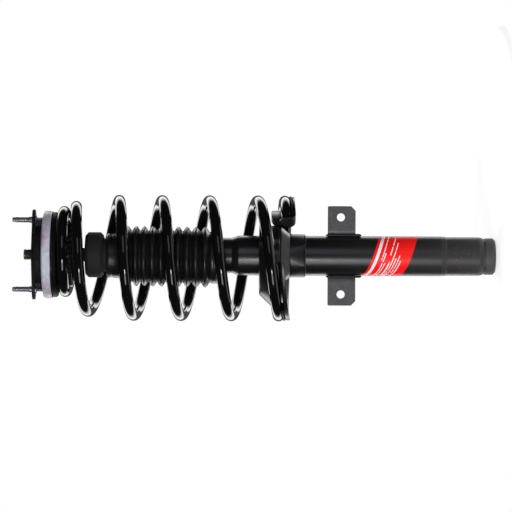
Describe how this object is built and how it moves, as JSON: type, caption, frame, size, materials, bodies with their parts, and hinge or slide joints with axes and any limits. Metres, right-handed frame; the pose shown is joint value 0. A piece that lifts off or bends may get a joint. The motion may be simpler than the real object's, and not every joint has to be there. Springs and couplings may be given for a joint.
{
  "type": "suspension strut assembly",
  "caption": "Car suspension strut: damper tube with clamp end and eared bracket, coil spring, dust boot and swivelling two-stud top mount.",
  "frame": {"origin": "on the strut axis, in the middle of the length that the wheel knuckle grips, 17.5 mm below the step", "axes": "+Z along the strut axis towards the top mount; +X towards one ear of the bracket and one stud; the label faces -Y"},
  "size_m": [0.1636, 0.1671, 0.6277],
  "materials": {
    "tube_paint": "satin black",
    "cap_steel": "satin black",
    "spring_paint": "gloss black",
    "seat_paint": "satin black",
    "bracket_paint": "satin dark grey",
    "weld": "rough, painted over",
    "label_film": "gloss red",
    "boot_rubber": "matte",
    "bump_foam": "matte",
    "pad_rubber": "satin",
    "mount_rubber": "satin",
    "mount_paint": "satin black",
    "bearing_plastic": "pale grey moulding",
    "bearing_steel": "ground",
    "cage_nylon": "natural nylon",
    "zinc": "zinc plated",
    "rod_chrome": "hard chrome",
    "inner_steel": "machined, oiled",
    "sinter": "sintered iron",
    "seal_rubber": "nitrile",
    "band_ptfe": "filled PTFE"
  },
  "bodies": {
    "strut_body": {"reservoir_tube": "tube_paint", "base_cap": "cap_steel", "base_valve": "sinter", "pressure_tube": "inner_steel", "rod_guide": "sinter", "oil_seal": "seal_rubber", "gland_cap": "inner_steel", "seat_collar": "seat_paint", "seat_weld": "weld", "lower_spring_seat": "seat_paint", "lower_spring_pad": "pad_rubber", "coil_spring": "spring_paint", "ear_bracket": "bracket_paint", "bracket_welds": "weld", "bracket_seams": "weld", "label": "label_film", "dust_boot": "boot_rubber"},
    "upper_seat": {"upper_spring_pad": "pad_rubber", "upper_spring_seat": "seat_paint", "bearing_lower_race": "bearing_steel"},
    "ball_ring": {"bearing_cage": "cage_nylon", "bearing_balls": "bearing_steel"},
    "top_mount": {"bearing_upper_race": "bearing_steel", "bearing_cover": "bearing_plastic", "mount_cup": "mount_paint", "mount_rubber": "mount_rubber", "mount_core": "inner_steel", "mount_plate": "mount_paint", "mount_studs": "zinc", "core_washer": "zinc", "rod_nut": "zinc", "piston_rod": "rod_chrome", "rebound_ring": "inner_steel", "piston": "sinter", "piston_band": "band_ptfe", "piston_shims": "inner_steel", "piston_nut": "inner_steel", "bump_stop": "bump_foam"}
  },
  "joints": [
    {"name": "damper_stroke", "type": "slide", "parent": "strut_body", "child": "upper_seat", "axis": [0, 0, -1], "range_m": [0, 0.11], "stiffness_N_per_m": 22000, "springref_m": -0.09, "deforming": ["coil_spring", "dust_boot"]},
    {"name": "bearing_swivel", "type": "hinge", "parent": "upper_seat", "child": "top_mount", "pos_m": [0, 0, 0.53215], "axis": [0, 0, 1], "continuous": true},
    {"name": "ball_ring_turn", "type": "hinge", "parent": "upper_seat", "child": "ball_ring", "pos_m": [0, 0, 0.53215], "axis": [0, 0, 1], "continuous": true}
  ],
  "couplings": [
    {"joint": "ball_ring_turn", "follows": "bearing_swivel", "ratio": 0.5}
  ]
}
